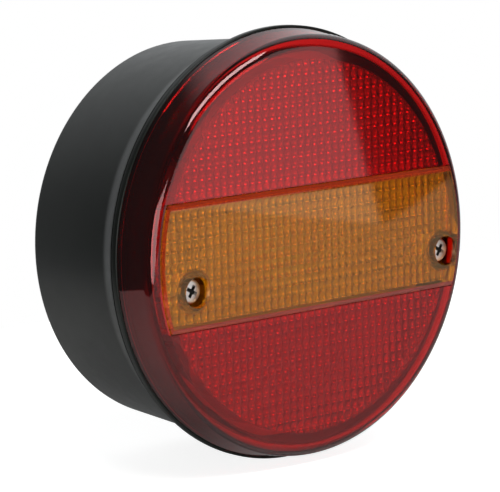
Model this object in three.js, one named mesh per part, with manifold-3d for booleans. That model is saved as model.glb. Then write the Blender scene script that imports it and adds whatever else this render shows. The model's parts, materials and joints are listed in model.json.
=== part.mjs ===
// A round three-function rear lamp for trailers: stop light above, indicator across the middle,
// tail light below. Millimetres. The lamp's axis is Y: it is bolted on by its rear face at y = 0,
// its lens looks along -Y, +Z is up and +X is to the right of somebody who faces the lens.
import * as THREE from 'three';
import { mergeVertices } from 'three/addons/utils/BufferGeometryUtils.js';
import Module from 'manifold-3d';

const wasm = await Module();
wasm.setup();

// ---------------------------------------------------------------- driving dimensions

const GAP = 0.3; // clearance wherever two pieces touch or nest
const ROUND = 48; // sides of the large round pieces

const LIP_RADIUS = 70; // the housing's front lip, the lamp's largest radius
const LIP_FRONT = -52.9;
const BACK_RADIUS = 62.8;
const BACK_CORNER = 2.8;
const FLARE_START = -44;
const FLARE_RADIUS = 66;
const FLOOR = -2.8; // inner face of the housing's rear wall
const WALL = 2.5;
const SEAL_GROOVE = { inner: 66.3, outer: 68.9, bottom: -50.8 };
const SPIGOT = { inner: 63.8, outer: 64.9, front: -62.2 }; // collar that stands up inside the lens

const LENS_REAR = LIP_FRONT - GAP; // the lens's edge lies on the lip and the seal
const LENS_REAR_RADIUS = 69.4;
const RIM_RADIUS = 67.7; // where the lens's tapered side ends and its rounded front edge starts
const RIM_FRONT = -62.2;
const FACE_RADIUS = 63.9; // where the rounded edge meets the flat face
const INNER_FACE_RADIUS = 62.7; // the same place on the lens's inside
const FACE = -66.8;
const LENS_WALL = 2.2;

const BAND_FACE = -68; // the amber band stands proud of the red face
const BAND_HALF_HEIGHT = 20;
const BAND_RADIUS = 63.4; // the band's round ends
const BAND_BEVEL = { depth: 1.1, width: 2.2 };
const BAND_REAR = FACE + LENS_WALL;
const BAND_SKIRT = { wall: 2, rear: -60.4 }; // the wall round the band's edge

const SCREW_PLACES = [
  { side: 'left', x: -50, z: -8 },
  { side: 'right', x: 57, z: -8 },
];
const POST_RADIUS = 5.5;
const POST_FRONT = -49.5;
const RECESS = { radius: 5.6, floor: -61.3, wall: 1.3 };
const SCREW = { head: 3.9, headFront: -65, headHeight: 2.4, shank: 1.9, tip: -40.5 };
const CROSS = { reach: 2.1, halfWidth: 0.5, depth: 1.6, turn: 30 }; // the recess in a screw's head
const INSERT = { radius: 3.1, bore: 2.2, length: 9.5 };
const WASHER = { radius: 4.3, bore: 2.2, thickness: 0.7 };

const TRAY_FLOOR = -14; // rear face of the tray's floor
const TRAY_THICKNESS = 1.5;
const TRAY_FLOOR_RADIUS = 56.6;
const TRAY_RIM = -47.5;
const TRAY_RIM_RADIUS = 61;
const TRAY_FLANGE_RADIUS = 63.2;

const DIVIDER_HEIGHT = 21.6; // centre of each dividing wall above or below the axis
const DIVIDER = { thickness: 1.4, halfWidth: 52, front: -63.6, footInset: 4, footHeight: 12 };

const BULB_AXIS = -34; // depth of the three bulbs' axes
const BULB_RISE = 37.5; // outer bulbs above and below the middle one
const BULB_FOOT = -22; // x of the bulbs' contacts
const CHAMBERS = [
  { name: 'stop', z: BULB_RISE },
  { name: 'indicator', z: 0 },
  { name: 'tail', z: -BULB_RISE },
];
const CAP_RADIUS = 7.5; // 15 mm bayonet cap
const CAP = { foot: 1.5, top: 18.5, pin: 8, pinRadius: 1, pinReach: 9.3 };
const FILAMENT = { coilHeight: 37, spread: 3.4, coil: 0.8, lead: 0.45 };
const GLASS = { neck: 6.4, radius: 13.2, belly: 36, length: 52.5, wall: 0.9 };
const SLEEVE = { inner: 7.8, outer: 8.4, rear: -11.3, mouth: 15 };
const TWIST = 20; // degrees that a bayonet bulb turns
const PUSH = 2; // how far it is pushed in first
const INSULATOR = { front: -9, rear: -11 };
const PLUNGER = { head: 3.2, headFront: -GAP, headRear: -2.2, shank: 1.4, tail: -13.5 };
const SPRING = { radius: 2.5, wire: 0.3, turns: 3.5 };
const BRACKET = { offset: -4, thickness: 1.2, halfWidth: 10, front: -44.5, foot: 13 };
const RIVET = { offset: 6, head: 2.6, shank: 1.5, headHeight: 1.1 };

const STRIP = { thickness: 0.8, halfWidth: 4, end: 44 };
const WIRE_RADIUS = 0.9;
const WIRE_DEPTH = -7.6; // the wires' runs behind the tray
const WIRE_HOLE = { x: -38, offset: 4, radius: 2.2 };
const TERMINAL = { left: 18, right: 30, halfHeight: 12.5, front: -12, pitch: 8, bore: 2.3, screwX: 24 };
const STUD = { spacing: 45, radius: 2.9, head: 5, headHeight: 3.6, reach: 20 };
const GROMMET = { x: 27, z: -29, bore: 3.6, waist: 5.6, flange: 7.6, inside: -5.2, outside: 0 };

// ---------------------------------------------------------------- materials

const paint = (color, roughness, metalness = 0) =>
  new THREE.MeshStandardMaterial({ color, roughness, metalness });

const MATERIALS = {
  blackPlastic: () => paint(0x24272a, 0.65),
  redLens: () => paint(0xa01218, 0.15),
  amberLens: () => paint(0xc06a18, 0.15),
  reflector: () => paint(0xd8d8d4, 0.3),
  rubber: () => paint(0x161616, 0.85),
  sealFoam: () => paint(0xa6a8a4, 0.85),
  steel: () => paint(0xb9bcc0, 0.35, 0.9),
  brass: () => paint(0xb8924a, 0.35, 0.9),
  clearGlass: () => paint(0xe8eef0, 0.05),
  amberGlass: () => paint(0xe08a28, 0.08),
  tungsten: () => paint(0x77777c, 0.5, 0.7),
  nylon: () => paint(0xe6e2d6, 0.6),
  fibre: () => paint(0x6b4a2c, 0.8),
  wireRed: () => paint(0x9a1c1c, 0.5),
};

// ---------------------------------------------------------------- solids

function signedVolume(geometry) {
  const place = geometry.attributes.position;
  const index = geometry.index;
  const corner = [new THREE.Vector3(), new THREE.Vector3(), new THREE.Vector3()];
  let sum = 0;
  for (let i = 0; i < index.count; i += 3) {
    corner.forEach((point, k) => point.fromBufferAttribute(place, index.getX(i + k)));
    sum += corner[0].dot(corner[1].cross(corner[2])) / 6;
  }
  return sum;
}

// Welds a three.js geometry into one closed skin, without empty triangles and facing outwards.
function weld(geometry) {
  geometry.deleteAttribute('normal');
  geometry.deleteAttribute('uv');
  const merged = mergeVertices(geometry, 1e-4);
  const kept = [];
  for (let i = 0; i < merged.index.count; i += 3) {
    const [a, b, c] = [0, 1, 2].map((k) => merged.index.getX(i + k));
    if (a !== b && b !== c && c !== a) {
      kept.push(a, b, c);
    }
  }
  merged.setIndex(kept);
  if (signedVolume(merged) < 0) {
    kept.reverse();
    merged.setIndex(kept);
  }
  return merged;
}

function toSolid(geometry) {
  const skin = weld(geometry);
  return new wasm.Manifold(
    new wasm.Mesh({
      numProp: 3,
      vertProperties: new Float32Array(skin.attributes.position.array),
      triVerts: new Uint32Array(skin.index.array),
    }),
  );
}

function toGeometry(solid) {
  const mesh = solid.getMesh();
  const geometry = new THREE.BufferGeometry();
  geometry.setAttribute('position', new THREE.BufferAttribute(new Float32Array(mesh.vertProperties), 3));
  geometry.setIndex(Array.from(mesh.triVerts));
  return geometry;
}

const join = (...solids) => solids.reduce((sum, solid) => sum.add(solid));
const cut = (base, ...tools) => tools.reduce((rest, tool) => rest.subtract(tool), base);

// A body turned about the Y axis from a profile of [radius, y] points.
function turned(profile, sides = ROUND) {
  const points = profile.map(([radius, y]) => new THREE.Vector2(radius, y));
  return toSolid(new THREE.LatheGeometry(points, sides));
}

// A ring turned about the Y axis: the profile is closed back to its first point.
const ring = (profile, sides = ROUND) => turned([...profile, profile[0]], sides);

// A straight round bar along Y at (x, z), between two depths.
function bar(radius, from, to, x = 0, z = 0, sides = 16) {
  const geometry = new THREE.CylinderGeometry(radius, radius, Math.abs(to - from), sides);
  geometry.translate(x, (from + to) / 2, z);
  return toSolid(geometry);
}

// A block between two opposite corners.
function block(low, high) {
  const size = high.map((value, i) => value - low[i]);
  const middle = high.map((value, i) => (value + low[i]) / 2);
  const geometry = new THREE.BoxGeometry(...size);
  geometry.translate(...middle);
  return toSolid(geometry);
}

// A flat outline in x and z, extruded forwards (towards -Y) from one depth to another.
function slab(shape, from, to, bevel = { depth: 0, width: 0 }) {
  const geometry = new THREE.ExtrudeGeometry(shape, {
    depth: from - to - bevel.depth,
    curveSegments: 8,
    bevelEnabled: bevel.depth > 0,
    bevelThickness: bevel.depth,
    bevelSize: bevel.width,
    bevelOffset: -bevel.width,
    bevelSegments: 1,
  });
  geometry.rotateX(Math.PI / 2);
  geometry.translate(0, from, 0);
  return toSolid(geometry);
}

// A round tube or wire along a smooth line through points.
function wire(points, radius, steps, sides = 8) {
  const section = new THREE.Shape();
  for (let i = 0; i < sides; i += 1) {
    const turn = (i / sides) * 2 * Math.PI;
    const [x, y] = [radius * Math.cos(turn), radius * Math.sin(turn)];
    if (i === 0) {
      section.moveTo(x, y);
    } else {
      section.lineTo(x, y);
    }
  }
  section.closePath();
  const path = new THREE.CatmullRomCurve3(points.map((point) => new THREE.Vector3(...point)));
  return toSolid(new THREE.ExtrudeGeometry(section, { steps, extrudePath: path }));
}

// Lays a body that was turned about Y along +X instead, with its zero at a bulb's contact.
function layAlong(solid, z) {
  return solid.rotate([0, 0, -90]).translate([BULB_FOOT, BULB_AXIS, z]);
}

const lamp = new THREE.Group();

function add(name, solid, material, parent = lamp) {
  const mesh = new THREE.Mesh(toGeometry(solid), MATERIALS[material]());
  mesh.name = name;
  parent.add(mesh);
}

function arc(centreRadius, centreY, radius, fromDegrees, toDegrees, steps) {
  return Array.from({ length: steps + 1 }, (_, i) => {
    const turn = THREE.MathUtils.degToRad(fromDegrees + ((toDegrees - fromDegrees) * i) / steps);
    return [centreRadius + radius * Math.cos(turn), centreY + radius * Math.sin(turn)];
  });
}

// ---------------------------------------------------------------- housing and its fixings

// The cup: a slightly conical wall that flares to a lip, with a bead line round the lip, a groove
// in its front for the seal, and a collar that keeps stray light out of the lens's side.
function backHousing() {
  const groove = SEAL_GROOVE;
  const cup = turned([
    [0, 0],
    ...arc(BACK_RADIUS - BACK_CORNER, -BACK_CORNER, BACK_CORNER, 90, 0, 4),
    [FLARE_RADIUS, FLARE_START],
    [FLARE_RADIUS + 1, FLARE_START - 2.2],
    [LIP_RADIUS - 0.8, FLARE_START - 4.4],
    [LIP_RADIUS - 0.3, FLARE_START - 5.9],
    [LIP_RADIUS - 0.9, FLARE_START - 6.1],
    [LIP_RADIUS - 0.9, FLARE_START - 6.5],
    [LIP_RADIUS, FLARE_START - 6.7],
    [LIP_RADIUS, LIP_FRONT + 0.3],
    [LIP_RADIUS - 0.3, LIP_FRONT],
    [groove.outer, LIP_FRONT],
    [groove.outer, groove.bottom],
    [groove.inner, groove.bottom],
    [groove.inner, LIP_FRONT + 0.6],
    [SPIGOT.outer, LIP_FRONT + 0.6],
    [SPIGOT.outer, SPIGOT.front],
    [SPIGOT.inner, SPIGOT.front],
    [SPIGOT.inner, LIP_FRONT + 3],
    [FLARE_RADIUS - WALL, FLARE_START],
    [BACK_RADIUS - WALL, FLOOR - 1],
    [BACK_RADIUS - WALL - 1, FLOOR],
    [0, FLOOR],
  ]);
  const posts = SCREW_PLACES.map(({ x, z }) => bar(POST_RADIUS, FLOOR + 1, POST_FRONT, x, z, 20));
  const sockets = SCREW_PLACES.map(({ x, z }) =>
    bar(INSERT.radius + GAP, POST_FRONT - 1, POST_FRONT + INSERT.length + 2, x, z),
  );
  const studHoles = studPlaces().map((z) => bar(STUD.radius + GAP, 1, FLOOR - 1, 0, z));
  const cableHole = bar(GROMMET.waist + GAP, 1, FLOOR - 1, GROMMET.x, GROMMET.z, 24);
  return cut(join(cup, ...posts), ...sockets, ...studHoles, cableHole);
}

function studPlaces() {
  return [STUD.spacing / 2, -STUD.spacing / 2];
}

// A square-headed bolt held inside the housing, with its thread out of the back.
function mountingStud(z) {
  const headRear = FLOOR - GAP;
  const half = STUD.head;
  const head = block([-half, headRear - STUD.headHeight, z - half], [half, headRear, z + half]);
  const shank = bar(STUD.radius, headRear - 1, STUD.reach - 1, 0, z, 24);
  const tip = new THREE.CylinderGeometry(STUD.radius - 0.8, STUD.radius, 1, 24);
  tip.translate(0, STUD.reach - 0.5, z);
  return join(head, shank, toSolid(tip));
}

// The rubber bush in the cable hole. Its groove grips the housing's rear wall, and it ends flush
// with the rear face so that the lamp sits flat.
function cableGrommet() {
  const { x, z, bore, waist, flange, inside, outside } = GROMMET;
  const neck = FLOOR - GAP;
  return ring(
    [
      [bore, outside],
      [waist, outside],
      [waist, neck],
      [flange, neck],
      [flange - 0.8, inside],
      [bore, inside],
    ],
    24,
  ).translate([x, 0, z]);
}

add('back_housing', backHousing(), 'blackPlastic');
studPlaces().forEach((z, i) => add(`mounting_stud_${['upper', 'lower'][i]}`, mountingStud(z), 'steel'));
add('cable_grommet', cableGrommet(), 'rubber');

// ---------------------------------------------------------------- lens, seal and lens screws

function lensSeal() {
  const { inner, outer, bottom } = SEAL_GROOVE;
  const [near, far] = [bottom - GAP, LENS_REAR + GAP];
  return ring([
    [inner + GAP, near],
    [outer - GAP, near],
    [outer - GAP, far],
    [inner + GAP, far],
  ]);
}

// The band's outline: straight above and below, with ends round about the lamp's axis.
function bandOutline(radius, halfHeight) {
  const lean = Math.asin(halfHeight / radius);
  const shape = new THREE.Shape();
  shape.absarc(0, 0, radius, -lean, lean, false);
  shape.absarc(0, 0, radius, Math.PI - lean, Math.PI + lean, false);
  shape.closePath();
  return shape;
}

// The lens's front edge: a quarter of an ellipse from its side to its face.
function roundedEdge(steps) {
  const points = [];
  for (let i = 0; i <= steps; i += 1) {
    const turn = ((i / steps) * Math.PI) / 2;
    const radius = FACE_RADIUS + (RIM_RADIUS - FACE_RADIUS) * Math.cos(turn);
    points.push([radius, RIM_FRONT + (FACE - RIM_FRONT) * Math.sin(turn)]);
  }
  return points;
}

function redLens() {
  const innerRim = LENS_REAR_RADIUS - LENS_WALL;
  const shell = turned([
    [innerRim, LENS_REAR],
    [LENS_REAR_RADIUS, LENS_REAR],
    ...roundedEdge(4),
    [0, FACE],
    [0, FACE + LENS_WALL],
    [INNER_FACE_RADIUS, FACE + LENS_WALL],
    [RIM_RADIUS - LENS_WALL, RIM_FRONT],
    [innerRim, LENS_REAR],
  ]);
  const window = slab(bandOutline(BAND_RADIUS + GAP, BAND_HALF_HEIGHT + GAP), FACE + 6, FACE - 6);
  return cut(shell, window);
}

// The amber band has a wall round its edge, and carries both screw bosses: a recess for each head
// and a sleeve down to the post.
function amberLens() {
  const outline = bandOutline(BAND_RADIUS, BAND_HALF_HEIGHT);
  const plate = slab(outline, BAND_REAR, BAND_FACE + BAND_BEVEL.depth + 0.2);
  const front = slab(outline, BAND_REAR - BAND_BEVEL.depth - 0.1, BAND_FACE, BAND_BEVEL);
  const limit = bar(BAND_RADIUS, BAND_FACE, POST_FRONT, 0, 0, ROUND);
  const { wall, rear } = BAND_SKIRT;
  const core = slab(bandOutline(BAND_RADIUS - wall, BAND_HALF_HEIGHT - wall), rear + 1, BAND_REAR - 1);
  const skirt = cut(slab(outline, rear, BAND_REAR - 0.5), core);
  let band = join(plate, front, skirt);
  for (const { x, z } of SCREW_PLACES) {
    const cup = bar(RECESS.radius + RECESS.wall, BAND_REAR - 1, RECESS.floor + RECESS.wall, x, z, 24);
    const cupWall = cup.intersect(limit);
    const sleeve = bar(POST_RADIUS - 1, RECESS.floor, POST_FRONT - GAP, x, z, 20);
    band = join(band, cupWall, sleeve);
  }
  for (const { x, z } of SCREW_PLACES) {
    const recess = bar(RECESS.radius, BAND_FACE - 2, RECESS.floor, x, z, 24);
    const bore = bar(SCREW.shank + GAP, BAND_FACE - 2, POST_FRONT + 2, x, z);
    band = cut(band, recess, bore);
  }
  return band;
}

// A pan-head screw with a cross recess. Its axis is Y and its head faces -Y.
function lensScrew({ x, z }) {
  const { head, headFront, headHeight, shank, tip } = SCREW;
  const under = headFront + headHeight;
  const body = turned(
    [
      [0, tip],
      [shank - 0.7, tip],
      [shank, tip - 1],
      [shank, under],
      [head, under],
      [head, under - 0.9],
      [head - 0.5, headFront + 0.7],
      [head - 1.7, headFront + 0.1],
      [0, headFront],
    ],
    20,
  );
  const { reach, halfWidth, depth, turn } = CROSS;
  const [front, bottom] = [headFront - 1, headFront + depth];
  const slots = [
    block([-reach, front, -halfWidth], [reach, bottom, halfWidth]),
    block([-halfWidth, front, -reach], [halfWidth, bottom, reach]),
  ];
  return cut(body, ...slots).rotate([0, turn, 0]).translate([x, 0, z]);
}

function screwWasher({ x, z }) {
  const rear = RECESS.floor - GAP;
  const front = rear - WASHER.thickness;
  return ring(
    [
      [WASHER.bore, rear],
      [WASHER.radius, rear],
      [WASHER.radius, front],
      [WASHER.bore, front],
    ],
    16,
  ).translate([x, 0, z]);
}

// The brass bush that a lens screw turns in, knurled with flats round its outside.
function threadInsert({ x, z }) {
  const [front, rear] = [POST_FRONT, POST_FRONT + INSERT.length];
  const middle = (front + rear) / 2;
  return ring(
    [
      [INSERT.bore, front],
      [INSERT.radius, front],
      [INSERT.radius, middle - 0.6],
      [INSERT.radius - 0.4, middle - 0.6],
      [INSERT.radius - 0.4, middle + 0.6],
      [INSERT.radius, middle + 0.6],
      [INSERT.radius, rear],
      [INSERT.bore, rear],
    ],
    16,
  ).translate([x, 0, z]);
}

add('lens_seal', lensSeal(), 'sealFoam');
add('red_lens', redLens(), 'redLens');
add('amber_lens', amberLens(), 'amberLens');
for (const place of SCREW_PLACES) {
  add(`lens_screw_${place.side}`, lensScrew(place), 'steel');
  add(`screw_washer_${place.side}`, screwWasher(place), 'rubber');
  add(`thread_insert_${place.side}`, threadInsert(place), 'brass');
}

// ---------------------------------------------------------------- reflector tray and dividers

function rivetPlace(z) {
  return { x: BULB_FOOT + BRACKET.offset + RIVET.offset, z };
}

function wireHolePlace(z) {
  return { x: WIRE_HOLE.x, z: z - (Math.sign(z) || -1) * WIRE_HOLE.offset };
}

// The moulded tray that holds the bulbs and throws their light forwards. It clears the two screw
// posts, and has a hole for each rivet and each wire.
function reflectorTray() {
  const front = TRAY_FLOOR - TRAY_THICKNESS;
  const dish = turned([
    [0, TRAY_FLOOR],
    [TRAY_FLOOR_RADIUS, TRAY_FLOOR],
    [TRAY_RIM_RADIUS, TRAY_RIM + TRAY_THICKNESS],
    [TRAY_FLANGE_RADIUS, TRAY_RIM + TRAY_THICKNESS],
    [TRAY_FLANGE_RADIUS, TRAY_RIM],
    [TRAY_RIM_RADIUS - TRAY_THICKNESS, TRAY_RIM],
    [TRAY_FLOOR_RADIUS - TRAY_THICKNESS, front - 1],
    [TRAY_FLOOR_RADIUS - TRAY_THICKNESS - 1, front],
    [0, front],
  ]);
  const postHoles = SCREW_PLACES.map(({ x, z }) =>
    bar(POST_RADIUS + 2 * GAP, TRAY_FLOOR + 1, TRAY_RIM - 1, x, z, 20),
  );
  const holes = CHAMBERS.flatMap((chamber) => {
    const rivet = rivetPlace(chamber.z);
    const feed = wireHolePlace(chamber.z);
    return [
      bar(RIVET.shank + GAP, TRAY_FLOOR + 1, front - 1, rivet.x, rivet.z, 16),
      bar(WIRE_HOLE.radius, TRAY_FLOOR + 1, front - 1, feed.x, feed.z, 16),
    ];
  });
  return cut(dish, ...postHoles, ...holes);
}

// An opaque wall that keeps one chamber's light out of the next.
function divider(z) {
  const rear = TRAY_FLOOR - TRAY_THICKNESS - GAP;
  const { thickness, halfWidth, front, footInset, footHeight } = DIVIDER;
  const shape = new THREE.Shape();
  shape.moveTo(-halfWidth + footInset, rear);
  shape.lineTo(halfWidth - footInset, rear);
  shape.lineTo(halfWidth, rear - footHeight);
  shape.lineTo(halfWidth, front);
  shape.lineTo(-halfWidth, front);
  shape.lineTo(-halfWidth, rear - footHeight);
  shape.closePath();
  const plate = new THREE.ExtrudeGeometry(shape, { depth: thickness, bevelEnabled: false });
  plate.translate(0, 0, z - thickness / 2);
  return toSolid(plate);
}

add('reflector_tray', reflectorTray(), 'reflector');
add('upper_divider', divider(DIVIDER_HEIGHT), 'reflector');
add('lower_divider', divider(-DIVIDER_HEIGHT), 'reflector');

// ---------------------------------------------------------------- bulb holders

// The plated sleeve that takes the bulb's cap, with an opening for each of the two pins. Each
// opening is as wide as the pin's whole turn and runs out of the mouth.
function socketSleeve() {
  const { inner, outer, rear, mouth } = SLEEVE;
  const tube = ring(
    [
      [inner, rear],
      [outer, rear],
      [outer, mouth],
      [inner, mouth],
    ],
    24,
  );
  const halfWidth = CAP.pinRadius + GAP;
  const inward = CAP.pin - CAP.pinRadius - PUSH - GAP;
  const sweep = THREE.MathUtils.degToRad(TWIST);
  const reach = outer + 1;
  // The swept opening, seen along the tube: a wedge from the locked place to the free one.
  const wedge = new THREE.Shape();
  wedge.moveTo(0, -halfWidth);
  wedge.lineTo(reach, -halfWidth);
  wedge.lineTo(reach, reach * Math.tan(sweep) + halfWidth);
  wedge.lineTo(0, halfWidth);
  wedge.closePath();
  const depth = mouth + 1 - inward;
  const opening = (turn) => {
    const geometry = new THREE.ExtrudeGeometry(wedge, { depth, bevelEnabled: false });
    geometry.rotateX(-Math.PI / 2);
    geometry.translate(0, inward, 0);
    geometry.rotateY(turn);
    return toSolid(geometry);
  };
  return cut(tube, opening(0), opening(Math.PI));
}

function socketInsulator() {
  const { front, rear } = INSULATOR;
  return ring(
    [
      [PLUNGER.shank + GAP, rear],
      [SLEEVE.inner - GAP, rear],
      [SLEEVE.inner - GAP, front],
      [PLUNGER.shank + GAP, front],
    ],
    16,
  );
}

function contactPlunger() {
  const { head, headFront, headRear, shank, tail } = PLUNGER;
  return turned(
    [
      [0, tail],
      [shank, tail],
      [shank, headRear],
      [head, headRear],
      [head, headFront - 0.5],
      [head - 0.5, headFront],
      [0, headFront],
    ],
    16,
  );
}

function contactSpring() {
  const from = INSULATOR.front + GAP + SPRING.wire;
  const to = PLUNGER.headRear - GAP - SPRING.wire;
  const perTurn = 8;
  const steps = Math.round(SPRING.turns * perTurn);
  const points = Array.from({ length: steps + 1 }, (_, i) => {
    const turn = (i / perTurn) * 2 * Math.PI;
    const y = from + ((to - from) * i) / steps;
    return [SPRING.radius * Math.cos(turn), y, SPRING.radius * Math.sin(turn)];
  });
  return wire(points, SPRING.wire, steps, 5);
}

// A bent plate: the upright is holed for the sleeve and the foot is riveted to the tray.
function socketBracket(z) {
  const { offset, thickness, halfWidth, front, foot } = BRACKET;
  const left = BULB_FOOT + offset;
  const rear = TRAY_FLOOR - TRAY_THICKNESS - GAP;
  const upright = block([left, front, z - halfWidth], [left + thickness, rear, z + halfWidth]);
  const sole = block([left, rear - thickness, z - halfWidth], [left + foot, rear, z + halfWidth]);
  const eye = layAlong(bar(SLEEVE.outer + GAP, offset - 1, offset + thickness + 1, 0, 0, 32), z);
  const rivet = rivetPlace(z);
  const rivetHole = bar(RIVET.shank + GAP, rear + 1, rear - thickness - 1, rivet.x, rivet.z, 16);
  return cut(join(upright, sole), eye, rivetHole);
}

// The rivets hold the three brackets on the tray and the earth strip behind it.
function bracketRivet(z) {
  const { x } = rivetPlace(z);
  const front = TRAY_FLOOR - TRAY_THICKNESS - BRACKET.thickness - 2 * GAP;
  const rear = TRAY_FLOOR + STRIP.thickness + 2 * GAP;
  return join(
    bar(RIVET.head, front, front - RIVET.headHeight, x, z, 12),
    bar(RIVET.shank, front - 0.5, rear + 0.5, x, z, 12),
    bar(RIVET.head, rear, rear + RIVET.headHeight, x, z, 12),
  );
}

function earthStrip() {
  const { x } = rivetPlace(0);
  const { thickness, halfWidth, end } = STRIP;
  const rear = TRAY_FLOOR + GAP;
  const plate = block([x - halfWidth, rear, -end], [x + halfWidth, rear + thickness, end]);
  const holes = CHAMBERS.map(({ z }) => bar(RIVET.shank + GAP, rear - 1, rear + 2, x, z, 16));
  return cut(plate, ...holes);
}

for (const { name, z } of CHAMBERS) {
  add(`${name}_socket_sleeve`, layAlong(socketSleeve(), z), 'steel');
  add(`${name}_socket_insulator`, layAlong(socketInsulator(), z), 'fibre');
  add(`${name}_contact_plunger`, layAlong(contactPlunger(), z), 'brass');
  add(`${name}_contact_spring`, layAlong(contactSpring(), z), 'steel');
  add(`${name}_socket_bracket`, socketBracket(z), 'steel');
  add(`${name}_bracket_rivet`, bracketRivet(z), 'brass');
}
add('earth_strip', earthStrip(), 'brass');

// ---------------------------------------------------------------- bulbs

// The bulb's cap with its two locking pins.
function bulbCap() {
  const { foot, top, pin, pinRadius, pinReach } = CAP;
  const shell = turned(
    [
      [0, foot],
      [CAP_RADIUS - 2.5, foot],
      [CAP_RADIUS - 0.6, foot + 2],
      [CAP_RADIUS, foot + 3],
      [CAP_RADIUS, top],
      [0, top],
    ],
    24,
  );
  const pins = new THREE.CylinderGeometry(pinRadius, pinRadius, 2 * pinReach, 12);
  pins.rotateZ(Math.PI / 2);
  pins.translate(0, pin, 0);
  return join(shell, toSolid(pins));
}

function bulbContact() {
  return turned(
    [
      [0, 0],
      [1.6, 0],
      [2.6, 0.5],
      [2.6, CAP.foot - GAP],
      [0, CAP.foot - GAP],
    ],
    16,
  );
}

// The envelope is a pear open at its neck. Both skins follow the same outline, one wall apart.
function bulbGlass() {
  const { neck, radius, belly, length, wall } = GLASS;
  const foot = CAP.top + GAP;
  const steps = 4;
  const skin = (inset) => {
    const dome = arc(0, 0, 1, 0, 90, steps).map(([c, s]) => [
      (radius - inset) * c,
      belly + (length - belly - inset) * s,
    ]);
    dome[steps][0] = 0;
    const shoulder = [0, 0.25, 0.55, 0.8].map((share) => {
      const ease = (1 - Math.cos(share * Math.PI)) / 2;
      return [neck - inset + (radius - neck) * ease, foot + 3 + (belly - foot - 3) * share];
    });
    return [[neck - inset, foot], ...shoulder, ...dome];
  };
  return turned([...skin(wall).reverse(), ...skin(0)], 16);
}

// The glass stem with its two lead wires and the coil between them.
function bulbFilament() {
  const foot = CAP.top + GAP;
  const { coilHeight, spread, coil: coilRadius, lead } = FILAMENT;
  const stem = turned(
    [
      [0, foot],
      [3.2, foot],
      [2.2, foot + 6],
      [1.2, foot + 8],
      [0, foot + 8],
    ],
    12,
  );
  const leads = [-1, 1].map((side) =>
    wire(
      [
        [side * 1, foot + 6, 0],
        [side * 2, foot + 9, 0],
        [side * spread, foot + 12, 0],
        [side * spread, coilHeight + 0.3, 0],
      ],
      lead,
      5,
      5,
    ),
  );
  const coil = new THREE.CylinderGeometry(coilRadius, coilRadius, 2 * spread + 1.2, 8);
  coil.rotateZ(Math.PI / 2);
  coil.translate(0, coilHeight, 0);
  return join(stem, ...leads, toSolid(coil));
}

for (const { name, z } of CHAMBERS) {
  const glass = name === 'indicator' ? 'amberGlass' : 'clearGlass';
  add(`${name}_bulb_cap`, layAlong(bulbCap(), z), 'brass');
  add(`${name}_bulb_contact`, layAlong(bulbContact(), z), 'steel');
  add(`${name}_bulb_glass`, layAlong(bulbGlass(), z), glass);
  add(`${name}_bulb_filament`, layAlong(bulbFilament(), z), 'tungsten');
}

// ---------------------------------------------------------------- terminal block and wires

function terminalPlaces() {
  return CHAMBERS.map((_, i) => (1 - i) * TERMINAL.pitch);
}

function terminalBlock() {
  const { left, right, halfHeight, front, bore, screwX } = TERMINAL;
  const rear = FLOOR - GAP;
  const body = block([left, front, -halfHeight], [right, rear, halfHeight]);
  const holes = terminalPlaces().flatMap((z) => [
    bar(bore, left - 1, right + 1, 0, 0, 12).rotate([0, 0, -90]).translate([0, WIRE_DEPTH, z]),
    bar(bore - 0.4, WIRE_DEPTH, front - 1, screwX, z, 12),
  ]);
  return cut(body, ...holes);
}

// A brass tube in each way of the block, with a threaded side hole for its clamping screw.
function terminalTube(z) {
  const { left, right, bore, screwX } = TERMINAL;
  const outer = bore - GAP;
  const tube = bar(outer, left + 2, right - 2, 0, 0, 12).rotate([0, 0, -90]);
  const hole = bar(WIRE_RADIUS + 0.3, left - 1, right + 1, 0, 0, 8).rotate([0, 0, -90]);
  const side = bar(1.3, 0, -outer - 1, screwX, 0, 10);
  return cut(tube, hole, side).translate([0, WIRE_DEPTH, z]);
}

function terminalScrew(z) {
  const { front, screwX } = TERMINAL;
  const top = front + 0.6;
  const body = join(
    bar(1.0, WIRE_DEPTH - 1.2 - GAP, top + 1, screwX, z, 10),
    bar(1.6, top, top + 1.4, screwX, z, 10),
  );
  return cut(body, block([screwX - 2, top - 1, z - 0.25], [screwX + 2, top + 0.6, z + 0.25]));
}

// A lead from the back of a bulb holder, through the tray and behind it to the terminal block.
function feedWire(z, terminalZ) {
  const tag = BULB_FOOT + INSULATOR.rear - GAP;
  const hole = wireHolePlace(z);
  const side = Math.sign(z);
  return wire(
    [
      [tag, BULB_AXIS + 5, hole.z],
      [tag - 2.4, BULB_AXIS + 5.6, hole.z],
      [hole.x, BULB_AXIS + 10, hole.z],
      [hole.x, TRAY_FLOOR - 1, hole.z],
      [hole.x + 1, TRAY_FLOOR + 4, hole.z],
      [hole.x + 7, WIRE_DEPTH, hole.z - side * 6],
      [-12, WIRE_DEPTH, terminalZ + side * 4],
      [6, WIRE_DEPTH, terminalZ],
      [TERMINAL.left + 1.6, WIRE_DEPTH, terminalZ],
    ],
    WIRE_RADIUS,
    28,
    6,
  );
}

add('terminal_block', terminalBlock(), 'nylon');
CHAMBERS.forEach(({ name, z }, i) => {
  const way = terminalPlaces()[i];
  add(`${name}_terminal_tube`, terminalTube(way), 'brass');
  add(`${name}_terminal_screw`, terminalScrew(way), 'steel');
  add(`${name}_feed_wire`, feedWire(z, way), 'wireRed');
});

export default lamp;
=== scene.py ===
"""A round trailer tail light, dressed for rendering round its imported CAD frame.

Shapes are written in millimetres and scaled to metres when a mesh is made. The lamp's axis is Y:
its rear face is at y = 0 and its lens looks along -Y.
"""
import json
import math

import bmesh
import bpy
import numpy as np
from mathutils import Matrix, Quaternion, Vector


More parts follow.
